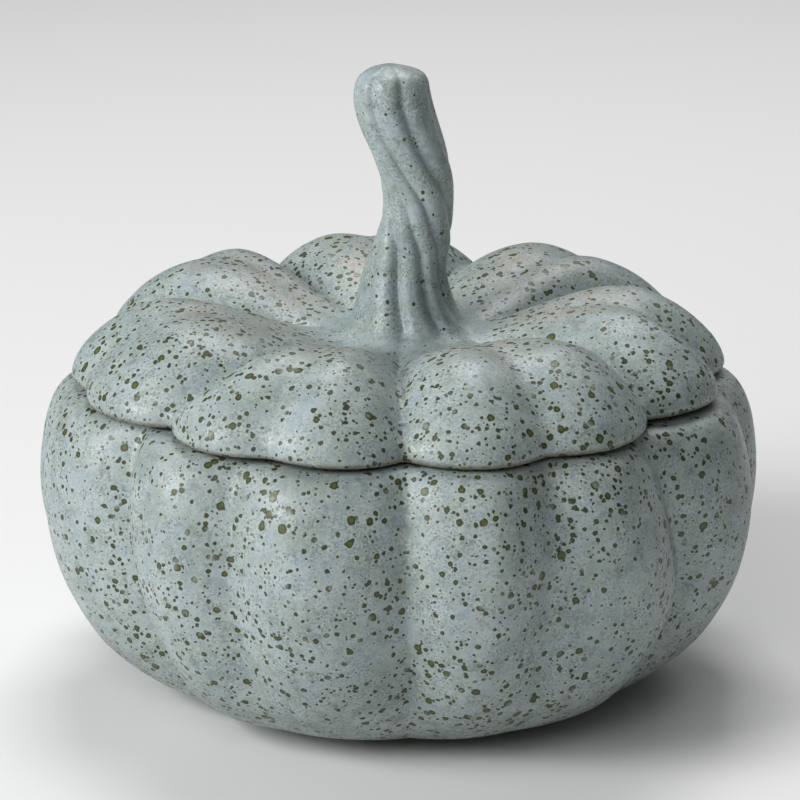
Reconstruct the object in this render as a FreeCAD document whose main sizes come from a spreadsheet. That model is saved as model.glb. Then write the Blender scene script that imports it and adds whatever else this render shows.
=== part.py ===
"""Lidded ceramic jar in the shape of a pumpkin, as a parametric FreeCAD document.

Five pieces: the ribbed bowl, the bare foot ring it stands on, the ribbed lid, the round
locating ring under the lid, and the twisted stem that the lid is lifted by.

Frame, in millimetres: +Z up, the front is -Y, and the origin is the centre of the foot's
base. Azimuths turn counter-clockwise from +X, seen from above.

The bowl and the lid are made of lobes. Each lobe is a loft through five upright sections
of the wall that fan round the Z axis: a deep groove, a crest, a soft crease, a second
crest, and the next deep groove.
"""
import FreeCAD, Part

import math
import os

import Sketcher
from FreeCAD import Placement, Rotation, Vector

# ---------------------------------------------------------------- driving dimensions

DIMENSIONS = {
    # foot and floor
    "ground_height": 0,
    "foot_inner_radius": 38,
    "foot_outer_radius": 45,
    "foot_rounding": 0.9,
    "underside_height": 2,
    "floor_height": 7,
    "disc_radius": 43,
    "lobe_start_radius": 40,
    "foot_line_radius": 46,
    # bowl wall
    "belly_radius": 87.4,
    "belly_height": 50,
    "shoulder_radius": 82.6,
    "shoulder_height": 71,
    "rim_radius": 77,
    "seat_height": 75,
    "wall_thickness": 5.2,
    "inner_pinch": 0.8,
    "mouth_radius": 66,
    "mouth_depth": 5,
    "mouth_stock": 2,
    "mouth_cut": 7.5,
    # how far the bowl's grooves, crests and creases lie inside the belly radius
    "bowl_groove": 7.6,
    "bowl_crest": 0.8,
    "bowl_crease": 3.2,
    # share of that depth which the shoulder and the rim keep
    "shoulder_share": 0.97,
    "rim_share": 0.9,
    # lid
    "lip_height": 76.2,
    "lip_radius": 78.2,
    "edge_height": 78.3,
    "edge_radius": 79.3,
    "top_radius": 55,
    "top_height": 96.8,
    "dimple_radius": 20,
    "dimple_height": 86.4,
    "lid_wall": 5.6,
    "inner_top_radius": 50,
    "inner_edge_radius": 66,
    "inner_edge_height": 84.5,
    "inner_edge_share": 0.35,
    # socket under the lid that the locating ring is set in
    "socket_stock_radius": 62.5,
    "socket_stock_height": 80.5,
    "socket_radius": 65.5,
    "seat_outer_radius": 68,
    "lip_start_radius": 68.8,
    "ceiling_height": 81.4,
    "ceiling_radius": 16,
    "hub_radius": 15,
    "hub_start_radius": 12,
    # how far the lid's grooves, crests and creases lie in from its edge and down from its top
    "edge_groove": 8.2,
    "edge_crest": 1.0,
    "edge_crease": 2.6,
    "edge_share": 0.95,
    "top_groove": 8.0,
    "top_crest": 1.4,
    "top_crease": 0.2,
    # locating ring under the lid
    "ring_inner_radius": 61.6,
    "ring_outer_radius": 65.2,
    "ring_bottom_height": 66,
    "ring_top_height": 79.5,
    "ring_rounding": 1.6,
    # stem and the vent under it
    "stem_base_height": 85.6,
    "stem_recess_radius": 19.6,
    "vent_radius": 5,
    "vent_offset": 1.7,
    "flute_valley": 0.9,
    "flute_roundness": 0.62,
}

# Azimuths of the deep grooves, and of the soft crease in the middle of each lobe, in degrees.
# The lid was cast in its own mould, so some of its lobes lie a little off the bowl's.
GROOVE_AZIMUTHS = {
    "bowl": (18, 70, 121, 166, 218, 271, 324.5),
    "lid": (18, 70, 121, 166, 225, 270.6, 322.5),
}
CREASE_AZIMUTHS = {
    "bowl": (41, 96, 143, 190, 242, 295, 353),
    "lid": (41, 96, 143, 194, 247, 296.5, 352),
}
# Depth of each crease as a share of the full crease depth.
CREASE_SHARES = (0.8, 0.8, 0.3, 0.8, 0.6, 0.9, 0.9)
LOBES = len(CREASE_SHARES)

# The stem from base to top: height, lean towards +X, radius over the flutes, twist.
STEM_SECTIONS = (
    (85.6, 1.6, 18.6, 92),
    (88.8, 1.7, 15.0, 88),
    (95.0, 1.8, 12.0, 82),
    (103.5, 2.0, 10.1, 72),
    (112.0, 3.5, 9.0, 56),
    (120.0, 4.3, 8.5, 40),
    (127.0, 3.3, 8.9, 27),
    (134.0, 0.7, 9.3, 16),
    (141.5, -1.3, 9.2, 7),
    (147.5, -2.3, 7.9, 2),
    (150.5, -2.6, 4.4, 0),
)
# The hollow core inside the stem: height, lean, radius.
CORE_SECTIONS = (
    (85.6, 1.7, 5.0),
    (103.5, 2.0, 4.6),
    (116.0, 3.8, 4.0),
    (127.0, 3.1, 3.2),
)
FLUTES = 6
# Azimuth of a flute's first valley; clear of 0 and 90, where a distance would be zero.
FLUTE_START = 20


class Size:
    """A size held in the sheet: its present value, and the expression that binds it."""

    def __init__(self, value, text):
        self.value = value
        self.text = text

    def combine(self, other, sign, value):
        text = other.text if isinstance(other, Size) else repr(other)
        return Size(value, f"({self.text} {sign} {text})")

    def __add__(self, other):
        return self.combine(other, "+", self.value + number(other))

    def __sub__(self, other):
        return self.combine(other, "-", self.value - number(other))

    def __mul__(self, other):
        return self.combine(other, "*", self.value * number(other))


def number(size):
    return size.value if isinstance(size, Size) else size


def size(name):
    return Size(values[name], f"Dimensions.{name}")


def midway(first, second):
    return (first + second) * 0.5


# ---------------------------------------------------------------- document and sheet

os.makedirs("parts", exist_ok=True)
document = FreeCAD.newDocument("PumpkinJar")

values = dict(DIMENSIONS)
for i in range(LOBES):
    values[f"crease_share_{i}"] = CREASE_SHARES[i]
    for part in ("bowl", "lid"):
        values[f"{part}_groove_azimuth_{i}"] = GROOVE_AZIMUTHS[part][i]
        values[f"{part}_crease_azimuth_{i}"] = CREASE_AZIMUTHS[part][i]
for i, row in enumerate(STEM_SECTIONS):
    for name, value in zip(("height", "lean", "radius", "twist"), row):
        values[f"stem_{name}_{i}"] = value
for i, row in enumerate(CORE_SECTIONS):
    for name, value in zip(("height", "lean", "radius"), row):
        values[f"core_{name}_{i}"] = value

sheet = document.addObject("Spreadsheet::Sheet", "Dimensions")
for line, (name, value) in enumerate(values.items(), start=1):
    sheet.set(f"A{line}", name)
    sheet.set(f"B{line}", str(value))
    sheet.setAlias(f"B{line}", name)
document.recompute()


# ---------------------------------------------------------------- sketching helpers

ORIGIN_POINT = (-1, 1)
START, END, CENTRE = 1, 2, 3


def new_body(label):
    body = document.addObject("PartDesign::Body", label)
    body.Label = label
    return body


def new_sketch(body, name, role, offset, bindings):
    """A sketch on one of the body's own planes; bindings maps offset fields to sizes."""
    sketch = body.newObject("Sketcher::SketchObject", name)
    plane = next(f for f in body.Origin.OriginFeatures if f.Role == role)
    sketch.AttachmentSupport = (plane, [""])
    sketch.MapMode = "FlatFace"
    sketch.AttachmentOffset = offset
    for field, bound in bindings.items():
        sketch.setExpression(f"AttachmentOffset.{field}", bound.text)
    return sketch


def level_sketch(body, name, height, lean=None, twist=None):
    """A level sketch at a height, shifted along X by lean and turned by twist."""
    base = Vector(number(lean) if lean else 0, 0, height.value)
    turn = Rotation(Vector(0, 0, 1), number(twist) if twist else 0)
    bindings = {"Base.z": height}
    if lean:
        bindings["Base.x"] = lean
    if twist:
        bindings["Rotation.Angle"] = twist
    return new_sketch(body, name, "XY_Plane", Placement(base, turn), bindings)


def upright_sketch(body, name, azimuth):
    """A sketch in the half-plane at an azimuth: its x is the radius and its y the height."""
    turn = Rotation(Vector(0, 1, 0), azimuth.value)
    return new_sketch(body, name, "XZ_Plane", Placement(Vector(), turn),
                      {"Rotation.Angle": azimuth})


def bind(sketch, kind, places, bound):
    """Add a dimensional constraint and bind it to its size."""
    index = sketch.addConstraint(Sketcher.Constraint(kind, *places, bound.value))
    sketch.setExpression(f"Constraints[{index}]", bound.text)


def place_point(sketch, curve, end, x, y):
    bind(sketch, "DistanceX", (*ORIGIN_POINT, curve, end), x)
    bind(sketch, "DistanceY", (*ORIGIN_POINT, curve, end), y)


def circle(sketch, radius, x=None):
    """A circle round the sketch's origin, or round a point on its X axis."""
    centre = Vector(number(x) if x else 0, 0, 0)
    curve = sketch.addGeometry(Part.Circle(centre, Vector(0, 0, 1), radius.value), False)
    bind(sketch, "Radius", (curve,), radius)
    if x:
        bind(sketch, "DistanceX", (*ORIGIN_POINT, curve, CENTRE), x)
        sketch.addConstraint(Sketcher.Constraint("PointOnObject", curve, CENTRE, -1))
    else:
        sketch.addConstraint(Sketcher.Constraint("Coincident", curve, CENTRE, *ORIGIN_POINT))


def arc_centre(start, end, level, plumb):
    """Centre of the arc between two points, given its height (level) or its radius (plumb)."""
    (x0, y0), (x1, y1) = start, end
    if level is not None:
        x = (x1 * x1 - x0 * x0 + (y1 - level) ** 2 - (y0 - level) ** 2) / (2 * (x1 - x0))
        return x, level
    y = (y1 * y1 - y0 * y0 + (x1 - plumb) ** 2 - (x0 - plumb) ** 2) / (2 * (y1 - y0))
    return plumb, y


def outline(sketch, chain):
    """A closed outline. Each link is (x, y, kind, where): the link's start point, and the
    curve to the next point, which is a line, or an arc whose centre lies on the level or
    plumb line named by kind. Arcs bulge away from their centre whichever way they run."""
    ends = []
    count = len(chain)
    for i, (x, y, kind, where) in enumerate(chain):
        start = (x.value, y.value)
        end = (chain[(i + 1) % count][0].value, chain[(i + 1) % count][1].value)
        if kind == "line":
            curve = Part.LineSegment(Vector(*start, 0), Vector(*end, 0))
            ends.append((START, END))
        else:
            level = where.value if kind == "level" else None
            plumb = where.value if kind == "plumb" else None
            centre = arc_centre(start, end, level, plumb)
            angles = [math.atan2(p[1] - centre[1], p[0] - centre[0]) for p in (start, end)]
            ring = Part.Circle(Vector(*centre, 0), Vector(0, 0, 1), math.dist(start, centre))
            curve = Part.ArcOfCircle(ring, min(angles), max(angles))
            ends.append((START, END) if angles[0] < angles[1] else (END, START))
        sketch.addGeometry(curve, False)
    for i, (x, y, kind, where) in enumerate(chain):
        follower = (i + 1) % count
        sketch.addConstraint(Sketcher.Constraint(
            "Coincident", i, ends[i][1], follower, ends[follower][0]))
        place_point(sketch, i, ends[i][0], x, y)
        if kind == "level":
            bind(sketch, "DistanceY", (*ORIGIN_POINT, i, CENTRE), where)
        if kind == "plumb":
            bind(sketch, "DistanceX", (*ORIGIN_POINT, i, CENTRE), where)


# ---------------------------------------------------------------- lobes

def stations(part):
    """Azimuths of a part's sections, four to a lobe, each with its kind and lobe number."""
    result = []
    for i in range(LOBES):
        groove = size(f"{part}_groove_azimuth_{i}")
        crease = size(f"{part}_crease_azimuth_{i}")
        following = size(f"{part}_groove_azimuth_{(i + 1) % LOBES}")
        if i == LOBES - 1:
            following = following + 360
        result.append(("groove", groove, i))
        result.append(("crest", midway(groove, crease), i))
        result.append(("crease", crease, i))
        result.append(("crest", midway(crease, following), i))
    return result


def station_depth(kind, lobe, prefix):
    """How far a section lies inside the fullest outline."""
    depth = size(f"{prefix}_{kind}")
    if kind == "crease":
        return depth * size(f"crease_share_{lobe}")
    return depth


def lobed_wall(body, section_chain):
    """Loft each lobe through its five sections, and fuse them in a ring."""
    part = body.Label
    name = part.capitalize()
    sections = []
    for i, (kind, azimuth, lobe) in enumerate(stations(part)):
        sketch = upright_sketch(body, f"{name}Section{i:02d}", azimuth)
        outline(sketch, section_chain(kind, lobe))
        sections.append(sketch)
    sections.append(sections[0])
    for lobe in range(LOBES):
        loft = body.newObject("PartDesign::AdditiveLoft", f"{name}Lobe{lobe}")
        first = 4 * lobe
        loft.Profile = sections[first]
        loft.Sections = sections[first + 1:first + 5]


def bowl_section(kind, lobe):
    """The bowl's wall from the foot line up to the rim, down the mouth and back inside."""
    depth = station_depth(kind, lobe, "bowl")
    belly_height = size("belly_height")
    seat = size("seat_height")
    rim = size("rim_radius") - depth * size("rim_share")
    mouth = size("mouth_radius") - size("mouth_stock")
    inner_belly = size("belly_radius") - size("wall_thickness") - depth * size("inner_pinch")
    return (
        (size("foot_line_radius"), size("underside_height"), "level", belly_height),
        (size("belly_radius") - depth, belly_height, "level", belly_height),
        (size("shoulder_radius") - depth * size("shoulder_share"), size("shoulder_height"),
         "plumb", rim),
        (rim, seat, "line", None),
        (mouth, seat, "line", None),
        (mouth, seat - size("mouth_depth"), "level", belly_height),
        (inner_belly, belly_height, "level", belly_height),
        (size("foot_line_radius"), size("floor_height"), "line", None),
        (size("lobe_start_radius"), size("floor_height"), "line", None),
        (size("lobe_start_radius"), size("underside_height"), "line", None),
    )


def lid_section(kind, lobe):
    """The lid's wall from the hub out over the top to the lip, and back along the inside."""
    edge_depth = station_depth(kind, lobe, "edge")
    top_depth = station_depth(kind, lobe, "top")
    top = size("top_height") - top_depth
    inner_top = top - size("lid_wall")
    inner_edge = size("inner_edge_height") - top_depth * size("inner_edge_share")
    seat = size("seat_height")
    return (
        (size("ceiling_radius"), size("ceiling_height"), "line", None),
        (size("inner_top_radius"), inner_top, "plumb", size("inner_top_radius")),
        (size("inner_edge_radius"), inner_edge, "line", None),
        (size("socket_stock_radius"), size("socket_stock_height"), "line", None),
        (size("socket_stock_radius"), seat, "line", None),
        (size("seat_outer_radius"), seat, "line", None),
        (size("lip_start_radius"), size("lip_height"), "line", None),
        (size("lip_radius") - edge_depth, size("lip_height"), "level", size("edge_height")),
        (size("edge_radius") - edge_depth * size("edge_share"), size("edge_height"),
         "plumb", size("top_radius")),
        (size("top_radius"), top, "plumb", size("top_radius")),
        (size("dimple_radius"), size("dimple_height"), "line", None),
        (size("hub_start_radius"), size("dimple_height"), "line", None),
        (size("hub_start_radius"), size("ceiling_height"), "line", None),
    )


# ---------------------------------------------------------------- features on a body

def disc(body, name, radius, bottom, top):
    """A round disc between two heights, fused to the body."""
    sketch = level_sketch(body, f"{name}Outline", bottom)
    circle(sketch, radius)
    pad = body.newObject("PartDesign::Pad", name)
    pad.Profile = sketch
    pad.setExpression("Length", (top - bottom).text)


def round_cut(body, name, radius, top, bottom, x=None):
    """A round, flat-bottomed cut, from one height down to another."""
    sketch = level_sketch(body, f"{name}Outline", top)
    circle(sketch, radius, x)
    before = solid_volume(body)
    pocket = body.newObject("PartDesign::Pocket", name)
    pocket.Profile = sketch
    pocket.setExpression("Length", (top - bottom).text)
    if solid_volume(body) >= before:
        raise RuntimeError(f"{name} cut nothing")


def solid_volume(body):
    document.recompute()
    return body.Shape.Volume


def turned_ring(body, name, inner, outer, bottom, top, rounding):
    """A ring of rectangular section, turned about Z, with its bottom edges rounded."""
    sketch = new_sketch(body, f"{name}Outline", "XZ_Plane", Placement(), {})
    outline(sketch, (
        (inner, bottom, "line", None),
        (outer, bottom, "line", None),
        (outer, top, "line", None),
        (inner, top, "line", None),
    ))
    turned = body.newObject("PartDesign::Revolution", name)
    turned.Profile = sketch
    turned.ReferenceAxis = (sketch, ["V_Axis"])
    turned.Angle = 360
    document.recompute()
    low = [f"Edge{i}" for i, edge in enumerate(turned.Shape.Edges, start=1)
           if edge.BoundBox.ZMax < bottom.value + 0.01]
    fillet = body.newObject("PartDesign::Fillet", f"{name}Rounding")
    fillet.Base = (turned, low)
    fillet.setExpression("Radius", rounding.text)


def fluted_outline(sketch, radius):
    """Equal convex arcs round the sketch's origin; they meet in valleys between the flutes."""
    valley = radius * size("flute_valley")
    bulge = radius * size("flute_roundness")
    step = 2 * math.pi / FLUTES
    half_chord = valley.value * math.sin(step / 2)
    reach = valley.value * math.cos(step / 2) - math.sqrt(bulge.value ** 2 - half_chord ** 2)
    sweep = math.asin(half_chord / bulge.value)
    for i in range(FLUTES):
        middle = math.radians(FLUTE_START) + (i + 0.5) * step
        centre = Vector(reach * math.cos(middle), reach * math.sin(middle), 0)
        ring = Part.Circle(centre, Vector(0, 0, 1), bulge.value)
        sketch.addGeometry(Part.ArcOfCircle(ring, middle - sweep, middle + sweep), False)
    for i in range(FLUTES):
        azimuth = math.radians(FLUTE_START) + i * step
        sketch.addConstraint(Sketcher.Constraint("Coincident", i, END, (i + 1) % FLUTES, START))
        place_point(sketch, i, START, valley * round(math.cos(azimuth), 6),
                    valley * round(math.sin(azimuth), 6))
        bind(sketch, "Radius", (i,), bulge)


def loft_through(body, kind, name, sketches):
    loft = body.newObject(kind, name)
    loft.Profile = sketches[0]
    loft.Sections = sketches[1:]


# ---------------------------------------------------------------- the five pieces

def make_bowl():
    body = new_body("bowl")
    lobed_wall(body, bowl_section)
    disc(body, "Floor", size("disc_radius"), size("underside_height"), size("floor_height"))
    round_cut(body, "Mouth", size("mouth_radius"), size("seat_height"),
              size("seat_height") - size("mouth_cut"))
    return body


def make_foot_ring():
    body = new_body("foot_ring")
    turned_ring(body, "Foot", size("foot_inner_radius"), size("foot_outer_radius"),
                size("ground_height"), size("underside_height"), size("foot_rounding"))
    return body


def make_lid():
    body = new_body("lid")
    lobed_wall(body, lid_section)
    disc(body, "Hub", size("hub_radius"), size("ceiling_height"), size("dimple_height"))
    round_cut(body, "RingSocket", size("socket_radius"), size("ring_top_height"),
              size("seat_height"))
    round_cut(body, "StemRecess", size("stem_recess_radius"), size("top_height"),
              size("stem_base_height"))
    round_cut(body, "Vent", size("vent_radius"), size("stem_base_height"),
              size("ceiling_height"), size("vent_offset"))
    return body


def make_locating_ring():
    body = new_body("locating_ring")
    turned_ring(body, "Flange", size("ring_inner_radius"), size("ring_outer_radius"),
                size("ring_bottom_height"), size("ring_top_height"), size("ring_rounding"))
    return body


def make_stem_handle():
    body = new_body("stem_handle")
    flutes = []
    for i in range(len(STEM_SECTIONS)):
        sketch = level_sketch(body, f"StemSection{i:02d}", size(f"stem_height_{i}"),
                              size(f"stem_lean_{i}"), size(f"stem_twist_{i}"))
        fluted_outline(sketch, size(f"stem_radius_{i}"))
        flutes.append(sketch)
    loft_through(body, "PartDesign::AdditiveLoft", "Stem", flutes)
    core = []
    for i in range(len(CORE_SECTIONS)):
        sketch = level_sketch(body, f"CoreSection{i}", size(f"core_height_{i}"),
                              size(f"core_lean_{i}"))
        circle(sketch, size(f"core_radius_{i}"))
        core.append(sketch)
    solid = solid_volume(body)
    loft_through(body, "PartDesign::SubtractiveLoft", "Core", core)
    if solid_volume(body) >= solid:
        raise RuntimeError("Core cut nothing")
    return body


pieces = [make_bowl(), make_foot_ring(), make_lid(), make_locating_ring(), make_stem_handle()]
for piece in pieces:
    piece.Placement = Placement()
document.recompute()

# ---------------------------------------------------------------- checks and export

for item in document.Objects:
    if {"Invalid", "Error"} & set(item.State):
        raise RuntimeError(f"{item.Name} failed: {item.State}")
for piece in pieces:
    if piece.Shape.isNull() or not piece.Shape.isValid() or len(piece.Shape.Solids) != 1:
        raise RuntimeError(f"{piece.Label} is not one valid solid")
for piece in pieces:
    piece.Shape.exportStep(f"parts/{piece.Label}.step")
    print(f"{piece.Label}: {piece.Shape.Volume:.0f} mm3")
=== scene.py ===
"""Looks of the lidded pumpkin jar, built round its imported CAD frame.

The bowl, the lid and the stem are dense closed meshes worked out here: each is a profile
carried round the upright axis and pressed in along deep grooves and soft creases, with the
lobes swelling between them. The foot ring and the locating ring stay as the CAD has them.
Tables are in millimetres; azimuths are degrees counter-clockwise from +X, seen from above.
"""
import math

import bpy
import numpy as np
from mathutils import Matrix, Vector


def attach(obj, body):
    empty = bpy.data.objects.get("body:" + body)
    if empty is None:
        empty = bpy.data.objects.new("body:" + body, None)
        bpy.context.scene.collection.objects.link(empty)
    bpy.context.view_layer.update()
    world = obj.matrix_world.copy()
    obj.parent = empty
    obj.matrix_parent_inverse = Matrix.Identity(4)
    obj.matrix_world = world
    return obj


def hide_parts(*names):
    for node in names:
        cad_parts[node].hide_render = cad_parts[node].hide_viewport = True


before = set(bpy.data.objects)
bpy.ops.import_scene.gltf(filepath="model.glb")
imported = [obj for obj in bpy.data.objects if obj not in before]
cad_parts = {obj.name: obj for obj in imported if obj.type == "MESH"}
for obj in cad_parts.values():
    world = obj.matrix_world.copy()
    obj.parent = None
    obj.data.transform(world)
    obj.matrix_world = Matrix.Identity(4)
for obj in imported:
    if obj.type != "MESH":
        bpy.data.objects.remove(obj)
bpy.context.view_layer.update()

MM = 0.001

# ---------------------------------------------------------------- shape tables

# One row per lobe: the groove that starts it (azimuth, drift, share of full depth), and the
# crease in its middle (the same three). Drift is how far the line wanders round, in degrees,
# from the rim of the bowl to its foot, or from the lid's edge to its crest. On the bowl a
# drift of more than SOFT_DRIFT comes back under the belly.
BOWL_LOBES = (
    ((18, 2, 1.00), (41, 1, 0.80)),
    ((70, -2, 0.95), (96, 2, 0.75)),
    ((121, 1, 1.00), (143, -2, 0.35)),
    ((166, -1, 1.05), (185, 4, 0.60)),
    ((213.6, 5, 1.42), (240.9, 3, 1.40)),
    ((271, 0.8, 1.02), (295.8, -1, 1.45)),
    ((319.4, 13, 1.12), (354, -4, 1.05)),
)
LID_LOBES = (
    ((18, 4, 1.00), (41, 1, 0.80)),
    ((70, 2, 0.95), (96, 2, 0.75)),
    ((121, 3, 1.00), (143, 0, 0.35)),
    ((166, 4, 1.05), (194, 2, 0.70)),
    ((221.5, 9, 1.00), (246.6, 1, 0.75)),
    ((270.9, -1, 1.00), (296.5, 0.5, 1.05)),
    ((324.5, 5, 1.00), (353, 2, 1.30)),
)

# Closed profiles, anticlockwise with the radius to the right. Each row is radius, height,
# groove depth, crease depth, and how far the pressing runs level instead of square to the
# surface. Depths below zero push an inside face in after the outside one.
BOWL_PROFILE = (
    (25.0, 2.0, 0.0, 0.0, 0), (44.0, 2.0, 0.0, 0.0, 0), (48.0, 2.1, 0.1, 0.1, 0),
    (52.5, 2.6, 0.4, 0.3, 0), (58.3, 3.9, 0.9, 0.7, 0), (64.0, 6.3, 2.2, 0.3, 0),
    (69.6, 10.2, 3.9, 0.6, 0), (75.1, 15.6, 6.0, 1.1, 0), (79.6, 22.2, 7.4, 2.2, 0),
    (83.8, 31.0, 7.9, 3.6, 0), (86.4, 40.5, 8.4, 4.1, 0), (87.5, 50.0, 8.5, 4.4, 0),
    (86.9, 59.5, 8.2, 4.4, 0.1), (85.3, 66.6, 7.8, 4.3, 0.4), (83.2, 71.0, 7.7, 4.1, 0.8),
    (80.9, 73.5, 7.4, 3.9, 1), (78.3, 74.6, 6.2, 3.3, 1), (75.4, 75.0, 5.0, 2.6, 1),
    (71.5, 75.0, 2.4, 1.3, 1), (67.6, 75.0, 0.3, 0.1, 1), (66.5, 74.7, 0.0, 0.0, 1),
    (66.0, 73.8, 0.0, 0.0, 1), (66.0, 71.5, 0.0, 0.0, 1), (66.2, 69.2, 0.0, 0.0, 0),
    (67.4, 67.3, -0.3, -0.1, 0), (70.6, 65.2, -1.4, -0.7, 0), (75.6, 62.0, -3.4, -1.7, 0),
    (80.0, 56.5, -6.2, -2.7, 0), (82.0, 49.0, -7.0, -3.0, 0), (81.0, 39.0, -6.9, -2.9, 0),
    (77.0, 27.5, -5.8, -2.4, 0), (70.0, 17.5, -4.0, -1.7, 0), (60.5, 10.4, -1.9, -1.0, 0),
    (50.5, 7.6, -0.5, -0.2, 0), (40.0, 7.0, 0.0, 0.0, 0), (20.0, 7.0, 0.0, 0.0, 0),
)
# Nodes of the bowl's profile that are inside it, and the points that close its mesh.
BOWL_INSIDE = (23, 36)
BOWL_POLES = ((0, 0, 2), (0, 0, 7))
LID_PROFILE = (
    (5.6, 81.9, 0.0, 0.0, 0), (7.5, 81.4, 0.0, 0.0, 0), (12.5, 81.4, 0.0, 0.0, 0),
    (18.5, 82.1, -0.3, 0.0, 0), (27.0, 84.7, -1.9, 0.0, 0), (36.5, 88.0, -4.3, -0.2, 0),
    (46.0, 89.9, -6.0, -0.5, 0), (54.6, 89.6, -6.0, -0.9, 0), (61.4, 87.6, -4.6, -1.0, 0),
    (65.0, 85.6, -3.0, -1.0, 0), (66.0, 83.9, -1.8, -0.6, 0), (65.0, 82.0, -0.6, -0.2, 0),
    (63.0, 80.7, 0.0, 0.0, 0), (62.5, 80.3, 0.0, 0.0, 0), (62.5, 79.7, 0.0, 0.0, 0),
    (62.8, 79.5, 0.0, 0.0, 0), (65.2, 79.5, 0.0, 0.0, 0), (65.5, 79.2, 0.0, 0.0, 0),
    (65.5, 75.4, 0.0, 0.0, 1), (65.8, 75.0, 0.0, 0.0, 1), (67.0, 75.0, 0.0, 0.0, 1),
    (68.4, 75.0, 0.5, 0.1, 1), (69.2, 75.4, 1.1, 0.4, 1), (70.2, 75.9, 2.0, 0.8, 1),
    (73.0, 76.0, 4.5, 1.8, 1), (76.4, 76.0, 7.2, 3.2, 1), (78.0, 76.1, 8.3, 3.9, 1),
    (78.8, 76.6, 8.6, 4.1, 1), (79.1, 77.5, 8.7, 4.1, 1), (78.7, 79.2, 8.7, 4.1, 0.85),
    (77.1, 82.5, 8.7, 4.1, 0.5), (73.9, 86.3, 8.7, 4.0, 0.18), (69.4, 90.2, 8.8, 3.6, 0.03),
    (63.5, 93.6, 8.8, 3.0, 0), (57.5, 95.7, 8.7, 2.4, 0), (51.5, 95.9, 8.4, 1.6, 0),
    (44.5, 94.8, 7.3, 0.9, 0), (37.5, 92.6, 5.7, 0.4, 0), (30.5, 89.9, 3.6, 0.1, 0),
    (24.0, 87.7, 1.8, 0.0, 0), (18.5, 86.5, 0.5, 0.0, 0), (13.0, 86.1, 0.1, 0.0, 0),
    (9.0, 86.1, 0.0, 0.0, 0), (6.0, 86.0, 0.0, 0.0, 0), (5.2, 85.1, 0.0, 0.0, 0),
    (5.2, 83.6, 0.0, 0.0, 0),
)
# Nodes of the lid's profile that are inside it.
LID_INSIDE = (0, 12)
# Rows of the lid's mesh over its middle, where the stem stands, counted from the last.
LID_MIDDLE = slice(-30, -8)
LID_MIDDLE_ROW = -10

# The stem, from bottom to top: height, lean towards +X, radius over the ridges, twist in
# degrees, depth of the valleys.
STEM_PROFILE = (
    (89.6, 1.4, 13.8, 105, 1.30), (91.9, 1.2, 12.5, 103, 1.35), (96.0, 1.0, 11.1, 100, 1.35),
    (101.0, 1.2, 9.9, 95, 1.30), (104.5, 1.8, 9.4, 90, 1.25), (108.0, 2.9, 9.1, 80, 1.25),
    (111.5, 3.6, 8.9, 67, 1.20), (115.0, 4.1, 8.6, 56, 1.15), (119.0, 4.4, 8.5, 44, 1.10),
    (123.0, 4.1, 8.7, 29, 1.10), (127.0, 3.3, 8.9, 16, 1.15), (131.0, 2.0, 9.1, 8, 1.20),
    (135.0, 0.5, 9.4, 4, 1.20), (139.0, -0.7, 9.5, 2, 1.20), (142.5, -1.5, 9.4, 0, 1.15),
    (145.3, -1.8, 9.1, 0, 1.05), (147.6, -1.8, 8.5, 0, 1.00), (149.2, -1.8, 7.1, 0, 0.85),
    (150.2, -2.0, 4.8, 0, 0.55), (150.9, -2.3, 2.4, 0, 0.20),
)
STEM_TIP = (-2.4, 0.0, 151.1)
# The flare that spreads from the stem on to the lid: radius, height over the lid, and depth
# of the valleys.
STEM_FLARE = (
    (22.5, -0.35, 0.00), (21.2, -0.08, 0.05), (20.0, 0.06, 0.12), (18.6, 0.30, 0.25),
    (17.2, 0.75, 0.50), (15.9, 1.45, 0.85), (14.8, 2.30, 1.15),
)
# The hollow up the inside of the stem, from its closed end down to the lid: height, lean,
# radius.
STEM_CORE = ((127.5, 3.1, 2.2), (124.0, 3.4, 3.4), (116.0, 3.8, 4.0), (103.5, 2.0, 4.6),
             (94.0, 1.7, 4.8), (85.8, 1.7, 5.0))
# Valleys between the stem's ridges: azimuth at the tip, and share of the full depth at the
# tip and at the lid.
STEM_VALLEYS = (
    (285, 1.10, 0.6), (348, 0.8, 0.9), (416, 0.9, 0.9), (478, 0.7, 0.6), (522, 0.5, 1.6),
    (562, 0.6, 1.0), (595, 0.8, 0.7),
)
STEM_BASE_LEAN = 1.4
STEM_UNDERSIDE = 85.8
STEM_SKIRT_INSET = 0.6
STEM_CORE_TOP = (3.1, 0, 128.0)
# Heights between which the valleys change from their shares at the tip to those at the lid.
STEM_SHARES_CHANGE = (130, 100)

# How the bowl's drift grows downwards from the rim, and where a strong one comes back.
RIM_HEIGHT = 75
DRIFT_DROP = 55
DRIFT_CURVE = 1.3
BOWL_DRIFT_MOST = 1.1
SOFT_DRIFT = 5
STRONG_DRIFT = 13
DRIFT_RETURN = (38, 8)
# How the lid's drift grows inwards from its edge.
LID_EDGE_RADIUS = 76
DRIFT_INWARDS = 24
LID_DRIFT_MOST = 1.2

# Where the glaze changes, and where painted shade is laid in towards the bowl's foot and in the
# gap under the lid's lip: each pair is a height or a radius where a change starts, and the one
# where it is complete.
MOUTH_HEIGHTS = (74.7, 75.0)
MOUTH_RADII = (71, 69)
BOWL_LOW_HEIGHTS = (30, 4)
BOWL_SHOULDER_HEIGHTS = (66, 73)
BOWL_SPECKLE_HEIGHTS = (56, 70)
LID_TOP_HEIGHTS = (75.4, 76.0)
LID_LIP_HEIGHTS = (77.8, 76.7)
LID_SEAT_HEIGHTS = (76.2, 75.8)
LID_SEAT_RADII = (60, 61)
LID_CREST_RADII = (66, 45)
LID_DIMPLE_RADII = (16, 30)
LID_SPECKLE_RADII = (66, 76)
STEM_SPECKLE = 0.36

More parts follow.
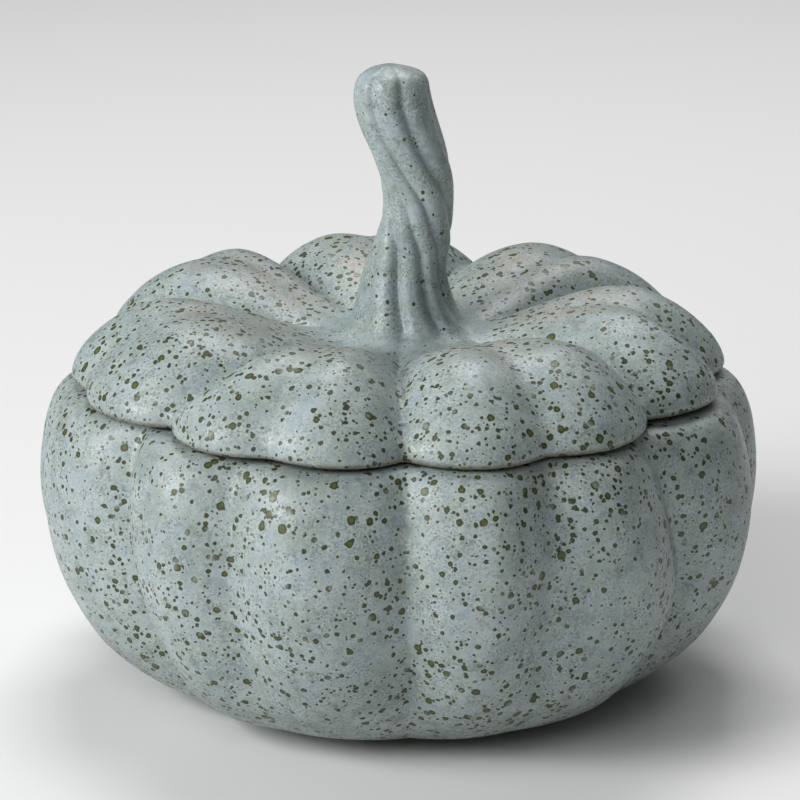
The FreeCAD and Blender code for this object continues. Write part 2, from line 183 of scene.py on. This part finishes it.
COLUMNS_PER_HALF_LOBE = 40
STEM_COLUMNS_PER_HALF_LOBE = 18
GROOVE_SIDE_CROWDING = 1.2
GROOVE_ROUNDING = 0.075
CREASE_ROUNDING = 0.05
CREASE_REACH = 0.46
CREASE_SHARPNESS = 1.7
LOBE_FULLNESS = 0.965
STEM_ROUNDING = 0.22
STEM_FULLNESS = 0.80
GROOVE_REACH = 0.82
OUTSIDE_SPACING = 1.7
INSIDE_SPACING = 4.0
STEM_SPACING = 0.9


# ---------------------------------------------------------------- curves and lobes

def through(nodes, places):
    """A smooth curve through the nodes: rows of the table at places, counted in nodes."""
    nodes = np.asarray(nodes, float)
    steps = np.hypot(*np.diff(nodes[:, :2], axis=0).T)
    along = np.r_[0, np.cumsum(np.maximum(steps, 1e-6))]
    slopes = np.gradient(nodes, along, axis=0)
    low = np.clip(np.floor(places).astype(int), 0, len(nodes) - 2)
    span = (along[low + 1] - along[low])[:, None]
    t = (places - low)[:, None]
    return ((2 * t**3 - 3 * t**2 + 1) * nodes[low] + (t**3 - 2 * t**2 + t) * span * slopes[low]
            + (3 * t**2 - 2 * t**3) * nodes[low + 1] + (t**3 - t**2) * span * slopes[low + 1])


def spread(table, spacing, inside=(0, 0)):
    """Places along a table of nodes, closer together outside than between the inside nodes."""
    places = []
    for i in range(len(table) - 1):
        step = INSIDE_SPACING if inside[0] <= i < inside[1] else spacing
        count = max(2, math.ceil(math.dist(table[i][:2], table[i + 1][:2]) / step))
        places += [i + k / count for k in range(count)]
    return np.array(places + [len(table) - 1])


def rounded(distance, rounding):
    """A distance from a line, from 0 to 1, with its sharp start at the line rounded off."""
    return ((np.sqrt(distance**2 + rounding**2) - rounding)
            / (math.sqrt(1 + rounding**2) - rounding))


def groove_share(distance, rounding=GROOVE_ROUNDING, fullness=LOBE_FULLNESS):
    """Depth of the groove at a distance from it; the lobes beside it are nearly round."""
    away = rounded(distance, rounding) / GROOVE_REACH
    inner = fullness * np.maximum(0, 1 - away)
    return (1 - np.sqrt(1 - inner**2)) / (1 - math.sqrt(1 - fullness**2))


def crease_share(distance):
    """Depth of the crease at a distance from the groove; 1 in the middle of the lobe."""
    away = rounded(1 - distance, CREASE_ROUNDING) / CREASE_REACH
    return np.maximum(0, 1 - away) ** CREASE_SHARPNESS


def lobe_columns(lobes, half_lobe, rounding=GROOVE_ROUNDING, fullness=LOBE_FULLNESS):
    """Mesh columns round a piece: azimuth, drift, groove depth share, crease depth share."""
    columns = []
    steps = np.arange(half_lobe) / half_lobe
    outward = steps**GROOVE_SIDE_CROWDING
    inward = 1 - (1 - steps) ** GROOVE_SIDE_CROWDING
    for i, (groove, crease) in enumerate(lobes):
        following = lobes[(i + 1) % len(lobes)][0]
        if i == len(lobes) - 1:
            following = (following[0] + 360,) + following[1:]
        for first, second, groove_first in ((groove, crease, True), (crease, following, False)):
            shares = outward if groove_first else inward
            from_groove = shares if groove_first else 1 - shares
            edge = first if groove_first else second
            columns.append(np.stack([
                first[0] + (second[0] - first[0]) * shares,
                first[1] + (second[1] - first[1]) * shares,
                edge[2] * groove_share(from_groove, rounding, fullness),
                crease[2] * crease_share(from_groove),
            ]))
    return np.hstack(columns)


def fade(values, start, end):
    """A smooth step from 0 at start to 1 at end."""
    t = np.clip((values - start) / (end - start), 0, 1)
    return t * t * (3 - 2 * t)


def unevenness(azimuth, height):
    """The slow waver of a hand-finished surface, in millimetres."""
    a = np.radians(azimuth)
    return (0.16 * np.sin(3 * a + height / 17 + 0.6) + 0.12 * np.sin(5 * a - height / 11 + 2.1)
            + 0.09 * np.sin(9 * a + height / 6.5 + 4.0) + 0.06 * np.sin(14 * a - height / 4.1))


def lobed_rows(profile, inside, columns, drift_of):
    """Rows of points (rows x columns x 3, millimetres) of a lobed piece, the table rows they
    came from, and the azimuths of the points."""
    places = spread(profile, OUTSIDE_SPACING, inside)
    table = through(profile, places)
    tangent = (through(profile, places + 1e-3) - through(profile, places - 1e-3))[:, :2]
    tangent /= np.linalg.norm(tangent, axis=1)[:, None]
    normal = np.stack([tangent[:, 1], -tangent[:, 0]], -1)
    level = np.clip(table[:, 4:5], 0, 1)
    press = normal * (1 - level) + np.array([[1.0, 0.0]]) * level
    depth = table[:, 2:3] * columns[2] + table[:, 3:4] * columns[3]
    azimuth = columns[0] + drift_of(table, columns[1])
    waver = unevenness(azimuth, table[:, 1:2]) * np.clip(table[:, 2:3] / 4, 0, 1)
    radius = table[:, 0:1] - depth * press[:, 0:1] + waver * normal[:, 0:1]
    height = table[:, 1:2] - depth * press[:, 1:2] + waver * normal[:, 1:2]
    turn = np.radians(azimuth)
    points = np.stack([radius * np.cos(turn), radius * np.sin(turn), height], -1)
    return points, table, azimuth


# ---------------------------------------------------------------- meshes

def grid_mesh(name, rows, poles=None, **paint):
    """A closed mesh over rows of points, in millimetres. It is closed by a pole at each end,
    or without poles, by joining the last row to the first. Each paint keyword is a number, or
    a number per row and column, that the material reads."""
    count, around = rows.shape[:2]
    column = np.arange(around)
    beside = (column + 1) % around
    faces = []
    for i in range(count - 1 if poles else count):
        low = i * around
        high = (i + 1) % count * around
        faces += np.stack([low + column, low + beside, high + beside, high + column],
                          -1).tolist()
    vertices = rows.reshape(-1, 3)
    if poles:
        vertices = np.vstack([vertices, np.array(poles, float)])
        start, end = count * around, count * around + 1
        last = (count - 1) * around
        faces += [(start, int(beside[j]), j) for j in range(around)]
        faces += [(end, last + j, last + int(beside[j])) for j in range(around)]
    mesh = bpy.data.meshes.new(name)
    mesh.from_pydata((vertices * MM).tolist(), [], faces)
    for label, values in paint.items():
        flat = np.broadcast_to(values, (count, around)).reshape(-1)
        if poles:
            flat = np.r_[flat, flat[0], flat[-1]]
        attribute = mesh.attributes.new(label, "FLOAT", "POINT")
        attribute.data.foreach_set("value", flat.astype(np.float32))
    mesh.update()
    mesh.shade_smooth()
    piece = bpy.data.objects.new(name, mesh)
    bpy.context.scene.collection.objects.link(piece)
    return piece


def bowl_drift(table, drifts):
    """How far round the bowl's grooves and creases have wandered at each row."""
    height = table[:, 1:2]
    strength = np.clip((drifts - SOFT_DRIFT) / (STRONG_DRIFT - SOFT_DRIFT), 0, 1)
    turned_back = strength * fade(height, *DRIFT_RETURN)
    below = np.clip((RIM_HEIGHT - height) / DRIFT_DROP, 0, BOWL_DRIFT_MOST)
    return drifts * below**DRIFT_CURVE * (1 - turned_back)


def lid_drift(table, drifts):
    """How far round the lid's grooves and creases have wandered at each row."""
    inwards = (LID_EDGE_RADIUS - table[:, 0:1]) / DRIFT_INWARDS
    return drifts * np.clip(inwards, 0, LID_DRIFT_MOST)


def make_bowl():
    """The bowl, brown where the glaze thins round its mouth, darker and more olive towards its
    foot, partly as painted shade, and with more specks high up and in its dips.
    """
    columns = lobe_columns(BOWL_LOBES, COLUMNS_PER_HALF_LOBE)
    rows, table = lobed_rows(BOWL_PROFILE, BOWL_INSIDE, columns, bowl_drift)[:2]
    radius = table[:, 0:1]
    level = table[:, 1:2]
    height = rows[:, :, 2]
    outside = table[:, 2:3] > 0.02
    mouth = fade(level, *MOUTH_HEIGHTS) * fade(radius, *MOUTH_RADII)
    # low: darker olive towards the foot, partly the glaze's own streaks, partly painted shade
    # under the belly; it also adds specks there
    low = fade(height, *BOWL_LOW_HEIGHTS) * outside
    ridge = (1 - columns[2] / 0.4).clip(0, 1)
    crest = ridge * fade(level, *BOWL_SHOULDER_HEIGHTS) * outside
    dip = np.maximum(columns[2], 0.6 * columns[3]).clip(0, 1) ** 2
    speckle = 0.94 + 0.28 * fade(height, *BOWL_SPECKLE_HEIGHTS) + 0.42 * dip
    return grid_mesh("glazed_bowl", rows, poles=BOWL_POLES,
                     thin=mouth, low=low, crest=crest * 0.25, speckle=speckle)


def make_lid():
    """The lid, brown where the glaze thins at its lip and seat and over its crests, with the
    lip's underside and the seat darkened as painted shade in the gap over the bowl, and the
    rows and azimuths of its points."""
    columns = lobe_columns(LID_LOBES, COLUMNS_PER_HALF_LOBE)
    rows, table, azimuth = lobed_rows(LID_PROFILE, LID_INSIDE, columns, lid_drift)
    radius = table[:, 0:1]
    level = table[:, 1:2]
    outside = fade(level, *LID_TOP_HEIGHTS) * (table[:, 2:3] > 0)
    lip = outside * fade(level, *LID_LIP_HEIGHTS)
    ridge = (1 - columns[2] / 0.5).clip(0, 1)
    crest = ridge * fade(radius, *LID_CREST_RADII) * fade(radius, *LID_DIMPLE_RADII) * outside
    # the seat under the lid's lip takes the edge brown, darkened as painted shade in the gap
    # over the bowl
    seat = fade(level, *LID_SEAT_HEIGHTS) * fade(radius, *LID_SEAT_RADII)
    speckle = 1.15 + 0.2 * fade(radius, *LID_SPECKLE_RADII)
    piece = grid_mesh("glazed_lid", rows, thin=np.maximum(lip, seat), low=0, crest=crest,
                      speckle=speckle)
    return piece, rows, azimuth


def lid_height_under(lid_rows, lid_azimuth, x, y):
    """Height of the lid's top under points near the stem, in millimetres."""
    radius = np.hypot(x, y)
    column_azimuth = lid_azimuth[LID_MIDDLE_ROW]
    turn = (np.degrees(np.arctan2(y, x)) - column_azimuth[0]) % 360
    column_turn = column_azimuth - column_azimuth[0]
    middle = lid_rows[LID_MIDDLE][::-1]
    reach = np.hypot(middle[:, :, 0], middle[:, :, 1])
    height = middle[:, :, 2]
    place = np.searchsorted(column_turn, turn) - 1
    beside = (place + 1) % len(column_turn)
    width = (column_turn[beside] - column_turn[place]) % 360
    share = (turn - column_turn[place]) / width
    first = np.array([np.interp(r, reach[:, j], height[:, j]) for r, j in zip(radius, place)])
    second = np.array([np.interp(r, reach[:, j], height[:, j]) for r, j in zip(radius, beside)])
    return first * (1 - share) + second * share


def make_stem(lid_rows, lid_azimuth):
    """The stem, from the top of its hollow down to the lid, out along the flare and up."""
    def valley_shares(end):
        lobes = []
        for i, valley in enumerate(STEM_VALLEYS):
            following = STEM_VALLEYS[(i + 1) % len(STEM_VALLEYS)][0]
            if following < valley[0]:
                following += 360
            middle = (valley[0] + following) / 2
            lobes.append(((valley[0], 0, valley[end]), (middle, 0, 0)))
        return lobe_columns(lobes, STEM_COLUMNS_PER_HALF_LOBE, STEM_ROUNDING, STEM_FULLNESS)

    at_tip = valley_shares(1)
    at_lid = valley_shares(2)

    def ring(radius, twist, depth, down):
        turn = np.radians(at_tip[0] + twist)
        reach = radius - depth * (at_tip[2] * (1 - down) + at_lid[2] * down)
        return reach * np.cos(turn), reach * np.sin(turn)

    rows = []
    base_twist = STEM_PROFILE[0][3]
    for height, lean, radius in through(STEM_CORE, spread(STEM_CORE, INSIDE_SPACING)):
        x, y = ring(radius, base_twist, 0, 1)
        rows.append(np.stack([x + lean, y, 0 * x + height], -1))
    x, y = ring(STEM_FLARE[0][0] - STEM_SKIRT_INSET, base_twist, 0, 1)
    rows.append(np.stack([x + STEM_BASE_LEAN, y, 0 * x + STEM_UNDERSIDE], -1))
    for radius, over, depth in through(STEM_FLARE, spread(STEM_FLARE, STEM_SPACING)):
        x, y = ring(radius, base_twist, depth, 1)
        x = x + STEM_BASE_LEAN
        z = lid_height_under(lid_rows, lid_azimuth, x, y) + over
        rows.append(np.stack([x, y, z], -1))
    places = spread([row[::2] for row in STEM_PROFILE], STEM_SPACING)
    for height, lean, radius, twist, depth in through(STEM_PROFILE, places):
        x, y = ring(radius, twist, depth, fade(height, *STEM_SHARES_CHANGE))
        x = x + lean
        a = np.arctan2(y, x - lean)
        waver = 0.12 * np.sin(2 * a + height / 5) + 0.07 * np.sin(3 * a - height / 3 + 1)
        rows.append(np.stack([x + waver * np.cos(a), y + waver * np.sin(a),
                              0 * x + height], -1))
    return grid_mesh("glazed_stem", np.stack(rows), poles=(STEM_CORE_TOP, STEM_TIP),
                     thin=0, low=0, crest=0, speckle=STEM_SPECKLE)


# ---------------------------------------------------------------- materials

def new_node(tree, kind, output, inputs, **settings):
    """Add a node and give back one of its outputs. An input is a number, a colour or another
    node's output, by the name or the number of its socket."""
    node = tree.nodes.new(kind)
    for name, value in settings.items():
        setattr(node, name, value)
    for socket, value in inputs.items():
        if isinstance(value, bpy.types.NodeSocket):
            tree.links.new(value, node.inputs[socket])
        else:
            node.inputs[socket].default_value = value
    return node.outputs[output]


def calculate(tree, operation, first, second=0.0, third=0.0):
    """The result of a sum on numbers or outputs."""
    return new_node(tree, "ShaderNodeMath", 0, {0: first, 1: second, 2: third},
                    operation=operation)


def step_between(tree, value, start, end, low=0.0, high=1.0):
    """A smooth step from low to high as a value goes from start to end."""
    return new_node(tree, "ShaderNodeMapRange", 0,
                    {"Value": value, "From Min": start, "From Max": end,
                     "To Min": low, "To Max": high}, interpolation_type="SMOOTHSTEP")


def colour_between(tree, factor, first, second):
    """A colour that goes from first to second as the factor goes from 0 to 1."""
    return new_node(tree, "ShaderNodeMix", 2, {0: factor, 6: first, 7: second},
                    data_type="RGBA")


def noise(tree, place, scale, detail, roughness=0.55, output=0):
    """Noise of about this many blotches to the metre: output 0 is a number, 1 a colour."""
    return new_node(tree, "ShaderNodeTexNoise", output,
                    {"Vector": place, "Scale": scale, "Detail": detail,
                     "Roughness": roughness})


def paint_value(tree, label):
    """A number that a mesh carries for each of its points."""
    return new_node(tree, "ShaderNodeAttribute", "Fac", {}, attribute_name=label)


def shade(red, green, blue):
    """A colour as the screen shows it, from 0 to 255, as the renderer's own values."""
    return tuple((c / 255 / 12.92) if c / 255 <= 0.04045 else ((c / 255 + 0.055) / 1.055) ** 2.4
                 for c in (red, green, blue)) + (1.0,)


GLAZE_PALE = shade(161, 173, 174)
GLAZE_TEAL = shade(130, 145, 146)
GLAZE_GREEN = shade(140, 154, 145)
GLAZE_BLUE = shade(150, 165, 173)
GLAZE_DARK = shade(92, 106, 104)
GLAZE_MILKY = shade(184, 193, 191)
GLAZE_BREAK = shade(160, 140, 122)
# Olive towards the bowl's foot, partly the glaze's own streaks, partly painted shade under the
# belly.
FOOT_OLIVE_AND_SHADE = shade(104, 106, 84)
# Brown of the glaze thinning at edges, darkened as painted shade for the gap under the lid's
# lip.
EDGE_BROWN_AND_GAP_SHADE = shade(92, 78, 52)
GLAZE_HALO = shade(186, 190, 176)
SPECK_GREEN = shade(40, 52, 36)
SPECK_OLIVE = shade(84, 86, 36)
CLAY_LIGHT = shade(206, 190, 168)
CLAY_DARK = shade(178, 156, 130)
CLAY_IRON = shade(96, 66, 46)
# Each size of speck: cells to the metre, shift, smallest and largest radius, share of cells.
SPECKS = (
    (235, 0.31, 0.78, 1.20, 0.70),
    (370, 1.73, 0.56, 0.84, 0.82),
    (455, 3.19, 0.38, 0.60, 0.88),
    (550, 5.57, 0.26, 0.42, 0.85),
    (740, 7.93, 0.14, 0.26, 0.60),
)
# Specks of a size that reaches this radius, in millimetres, crowd together the most.
BIG_SPECK = 0.8
# A distance that is outside every speck, in millimetres.
NO_SPECK = 9.0
# How far the edges of the specks are pulled about, and how deep the surfaces are, in metres.
SPECK_WOBBLE = 0.0010
GLAZE_RELIEF = 0.00022
CLAY_RELIEF = 0.0003


def speck_distance(tree, place, density, cells, offset, smallest, largest, share):
    """Distance from the edge of the nearest speck, in millimetres, below 0 inside it. There
    are this many cells to the metre, and a share of them holds a speck of a radius between
    smallest and largest, in millimetres."""
    shifted = new_node(tree, "ShaderNodeVectorMath", 0, {0: place, 1: (offset,) * 3},
                       operation="ADD")
    voronoi = tree.nodes.new("ShaderNodeTexVoronoi")
    tree.links.new(shifted, voronoi.inputs["Vector"])
    voronoi.inputs["Scale"].default_value = cells
    chance = new_node(tree, "ShaderNodeSeparateColor", 0, {0: voronoi.outputs["Color"]})
    size = chance.node.outputs[1]
    size = calculate(tree, "MULTIPLY", size, size)
    radius = calculate(tree, "MULTIPLY_ADD", size, largest - smallest, smallest)
    away = calculate(tree, "MULTIPLY", voronoi.outputs["Distance"], 1000 / cells)
    edge = calculate(tree, "SUBTRACT", away, radius)
    wanted = calculate(tree, "MULTIPLY", density, share)
    missing = calculate(tree, "GREATER_THAN", chance, wanted)
    return calculate(tree, "MULTIPLY_ADD", missing, NO_SPECK, edge)


def make_glaze():
    """The reactive glaze: a mottled grey-green with olive specks, brown where it thins at
    edges; darker at the bowl's foot and under the lid's lip, partly as painted shade.
    """
    material = bpy.data.materials.new("reactive_glaze")
    material.use_nodes = True
    tree = material.node_tree
    shader = tree.nodes["Principled BSDF"]
    place = new_node(tree, "ShaderNodeTexCoord", "Object", {})
    thin = paint_value(tree, "thin")
    low = paint_value(tree, "low")
    crest = paint_value(tree, "crest")
    speckle = paint_value(tree, "speckle")

    # the ground colour, in clouds and in fine grain
    clouds = noise(tree, place, 85, 6, 0.68)
    patches = noise(tree, place, 320, 4, 0.65)
    grain = noise(tree, place, 1700, 3, 0.7)
    ground = colour_between(tree, step_between(tree, clouds, 0.36, 0.66),
                            GLAZE_PALE, GLAZE_TEAL)
    ground = colour_between(tree, step_between(tree, patches, 0.50, 0.68, 0.0, 0.55),
                            ground, GLAZE_DARK)
    tint = noise(tree, place, 150, 3, 0.6)
    ground = colour_between(tree, step_between(tree, tint, 0.5, 0.66, 0.0, 0.55),
                            ground, GLAZE_GREEN)
    ground = colour_between(tree, step_between(tree, tint, 0.5, 0.36, 0.0, 0.55),
                            ground, GLAZE_BLUE)
    rough_patch = step_between(tree, noise(tree, place, 190, 4, 0.6), 0.4, 0.62, 0.2, 0.9)
    dark_grain = calculate(tree, "MULTIPLY", rough_patch,
                           step_between(tree, grain, 0.48, 0.64, 0.0, 0.8))
    ground = colour_between(tree, dark_grain, ground, GLAZE_DARK)
    milky_grain = calculate(tree, "MULTIPLY", rough_patch,
                            step_between(tree, grain, 0.5, 0.36, 0.0, 0.6))
    ground = colour_between(tree, milky_grain, ground, GLAZE_MILKY)

    # brown where the glaze thins, over ridges and along edges, and darker olive towards the
    # foot; the foot and the gap under the lid's lip are partly painted shade
    break_noise = noise(tree, place, 330, 4, 0.65)
    broken = calculate(tree, "MULTIPLY", crest, step_between(tree, break_noise, 0.38, 0.66))
    ground = colour_between(tree, calculate(tree, "MULTIPLY", broken, 0.55),
                            ground, GLAZE_BREAK)
    # darker olive towards the bowl's foot: partly the glaze's own streaks, partly painted shade
    # under the belly
    foot_olive_and_shade = calculate(tree, "MULTIPLY", low, step_between(tree, patches, 0.35, 0.65))
    ground = colour_between(tree, calculate(tree, "MULTIPLY", foot_olive_and_shade, 0.5),
                            ground, FOOT_OLIVE_AND_SHADE)
    # edge brown where the glaze thins, darkened as painted shade in the gap under the lid's lip
    ground = colour_between(tree, calculate(tree, "MULTIPLY", thin, 0.75), ground, EDGE_BROWN_AND_GAP_SHADE)

    # specks, from the biggest to pinpoints
    ragged = noise(tree, place, 700, 3, 0.6, output=1)
    wobbled = new_node(tree, "ShaderNodeVectorMath", 0,
                       {0: ragged, 1: (SPECK_WOBBLE,) * 3, 2: place},
                       operation="MULTIPLY_ADD")
    cluster = noise(tree, place, 34, 2, 0.5)
    density = step_between(tree, cluster, 0.36, 0.64, 0.55, 1.35)
    density = calculate(tree, "MULTIPLY", density, speckle)
    density = calculate(tree, "MULTIPLY_ADD", low, 0.35, density)
    crowd = calculate(tree, "MULTIPLY_ADD", speckle, 1.5, -0.5)
    crowd = calculate(tree, "MULTIPLY", density, crowd)
    specks = None
    for cells, offset, smallest, largest, share in SPECKS:
        layer = speck_distance(tree, wobbled, crowd if largest > BIG_SPECK else density,
                               cells, offset, smallest, largest, share)
        specks = layer if specks is None else calculate(tree, "MINIMUM", specks, layer)
    strength = step_between(tree, noise(tree, place, 260, 2), 0.3, 0.46, 0.55, 1.0)
    halo = step_between(tree, specks, 0.6, 0.05, 0.0, 0.22)
    inside = calculate(tree, "MULTIPLY", step_between(tree, specks, 0.08, -0.14), strength)
    heart = step_between(tree, specks, -0.12, -0.62)
    colour = colour_between(tree, halo, ground, GLAZE_HALO)
    speck_colour = colour_between(tree, heart, SPECK_GREEN, SPECK_OLIVE)
    colour = colour_between(tree, inside, colour, speck_colour)
    tree.links.new(colour, shader.inputs["Base Color"])

    rough = step_between(tree, grain, 0.35, 0.7, 0.36, 0.5)
    rough = calculate(tree, "MULTIPLY_ADD", thin, 0.12, rough)
    tree.links.new(rough, shader.inputs["Roughness"])
    shader.inputs["Specular IOR Level"].default_value = 0.42

    skin = noise(tree, place, 420, 3, 0.5)
    surface = calculate(tree, "MULTIPLY_ADD", grain, 0.35, skin)
    surface = calculate(tree, "MULTIPLY_ADD", inside, -0.5, surface)
    bump = new_node(tree, "ShaderNodeBump", 0,
                    {"Height": surface, "Strength": 0.35, "Distance": GLAZE_RELIEF})
    tree.links.new(bump, shader.inputs["Normal"])
    return material


def make_clay():
    """Bare fired stoneware, with grog and iron specks."""
    material = bpy.data.materials.new("bare_stoneware")
    material.use_nodes = True
    tree = material.node_tree
    shader = tree.nodes["Principled BSDF"]
    place = new_node(tree, "ShaderNodeTexCoord", "Object", {})
    clouds = noise(tree, place, 130, 4)
    grit = noise(tree, place, 2300, 2)
    colour = colour_between(tree, clouds, CLAY_LIGHT, CLAY_DARK)
    colour = colour_between(tree, step_between(tree, grit, 0.62, 0.7, 0.0, 0.7), colour,
                            CLAY_IRON)
    tree.links.new(colour, shader.inputs["Base Color"])
    tree.links.new(step_between(tree, clouds, 0.3, 0.7, 0.78, 0.92), shader.inputs["Roughness"])
    bump = new_node(tree, "ShaderNodeBump", 0,
                    {"Height": grit, "Strength": 0.5, "Distance": CLAY_RELIEF})
    tree.links.new(bump, shader.inputs["Normal"])
    return material


def plain_material(name, colour, roughness):
    """A material of one colour."""
    material = bpy.data.materials.new(name)
    material.use_nodes = True
    shader = material.node_tree.nodes["Principled BSDF"]
    shader.inputs["Base Color"].default_value = colour
    shader.inputs["Roughness"].default_value = roughness
    return material


# ---------------------------------------------------------------- the jar

glaze = make_glaze()
clay = make_clay()

bowl = make_bowl()
lid, lid_rows, lid_azimuth = make_lid()
stem = make_stem(lid_rows, lid_azimuth)
for piece in (bowl, lid, stem):
    piece.data.materials.append(glaze)
for name in ("foot_ring", "locating_ring"):
    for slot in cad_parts[name].material_slots:
        slot.material = clay

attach(bowl, "bowl_body")
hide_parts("bowl")
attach(lid, "lid_body")
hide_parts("lid")
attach(stem, "lid_body")
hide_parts("stem_handle")

# ---------------------------------------------------------------- floor, camera, light

FLOOR_HALF = 4.0
FLOOR_COLOUR = (0.80, 0.80, 0.80, 1)
FLOOR_ROUGHNESS = 0.9
floor_mesh = bpy.data.meshes.new("studio_floor")
floor_mesh.from_pydata([(-FLOOR_HALF, -FLOOR_HALF, 0), (FLOOR_HALF, -FLOOR_HALF, 0),
                        (FLOOR_HALF, FLOOR_HALF, 0), (-FLOOR_HALF, FLOOR_HALF, 0)],
                       [], [(0, 1, 2, 3)])
floor = bpy.data.objects.new("studio_floor", floor_mesh)
bpy.context.scene.collection.objects.link(floor)
floor_mesh.materials.append(plain_material("pale_paper", FLOOR_COLOUR, FLOOR_ROUGHNESS))


def aim(thing, place, target):
    """Put a camera or a light at a place, looking at a target."""
    thing.location = place
    thing.rotation_mode = "QUATERNION"
    look = Vector(target) - Vector(place)
    thing.rotation_quaternion = look.to_track_quat("-Z", "Y")
    bpy.context.scene.collection.objects.link(thing)


CAMERA_DISTANCE = 1.0
CAMERA_ELEVATION = math.radians(17.5)
CAMERA_TARGET = (0, 0, 0.0686)
CAMERA_LENS = 187.07
SENSOR_WIDTH = 36
camera_data = bpy.data.cameras.new("camera")
camera_data.sensor_width = SENSOR_WIDTH
camera_data.lens = CAMERA_LENS
camera = bpy.data.objects.new("camera", camera_data)
aim(camera, (0, -CAMERA_DISTANCE * math.cos(CAMERA_ELEVATION),
             CAMERA_TARGET[2] + CAMERA_DISTANCE * math.sin(CAMERA_ELEVATION)), CAMERA_TARGET)
bpy.context.scene.camera = camera

# Each light: name, place, size and power in watts. All look at the same point.
LIGHTS = (
    ("key", (-1.02, -0.54, 0.66), 0.60, 14.8),
    ("fill", (-0.28, -0.98, 0.80), 0.60, 3.0),
    ("rim", (0.0, 0.53, 1.26), 0.60, 8.8),
    ("back", (0.50, 0.86, 0.91), 0.60, 2.2),
)
LIGHT_TARGET = (0, 0, 0.07)
for name, place, size, power in LIGHTS:
    light_data = bpy.data.lights.new(name, "AREA")
    light_data.size = size
    light_data.energy = power
    aim(bpy.data.objects.new(name, light_data), place, LIGHT_TARGET)

WORLD_COLOUR = (1, 1, 1, 1)
WORLD_STRENGTH = 0.08
world = bpy.data.worlds.new("studio")
bpy.context.scene.world = world
world.use_nodes = True
background = world.node_tree.nodes["Background"]
background.inputs["Color"].default_value = WORLD_COLOUR
background.inputs["Strength"].default_value = WORLD_STRENGTH
bpy.context.scene.view_settings.view_transform = "Standard"

bpy.context.view_layer.update()
